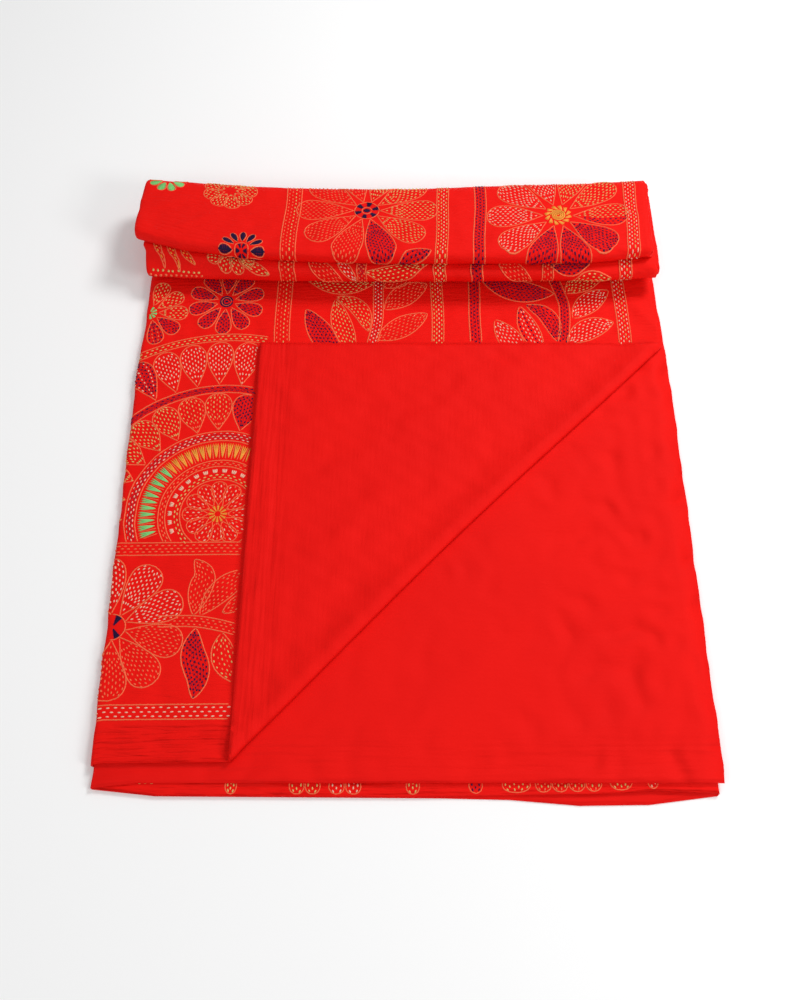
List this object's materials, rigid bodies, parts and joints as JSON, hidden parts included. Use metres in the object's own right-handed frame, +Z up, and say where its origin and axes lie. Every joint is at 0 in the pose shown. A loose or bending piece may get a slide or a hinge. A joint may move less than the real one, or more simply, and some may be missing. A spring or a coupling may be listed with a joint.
{
  "type": "folded kantha quilt",
  "caption": "Hand-stitched red quilt folded into a flat stack, its far end laid back and forth in a raised band and a front corner turned back to show the plain reverse.",
  "frame": {"origin": "middle of the folded stack's footprint, on the surface that it rests on", "axes": "+Z up from the surface, -Y towards the front hems, +Y towards the raised band, +X towards the free side edges of the top layers"},
  "size_m": [0.5826, 0.6884, 0.0576],
  "materials": {
    "quilt_cloth": "soft woven cloth with a faint silk gloss",
    "coral_thread": "satin embroidery thread",
    "cream_thread": "satin embroidery thread",
    "gold_thread": "satin embroidery thread",
    "navy_thread": "satin embroidery thread",
    "wine_thread": "satin embroidery thread",
    "green_thread": "satin embroidery thread",
    "orange_thread": "satin embroidery thread"
  },
  "bodies": {
    "root": {"quilt": "quilt_cloth"}
  },
  "joints": []
}
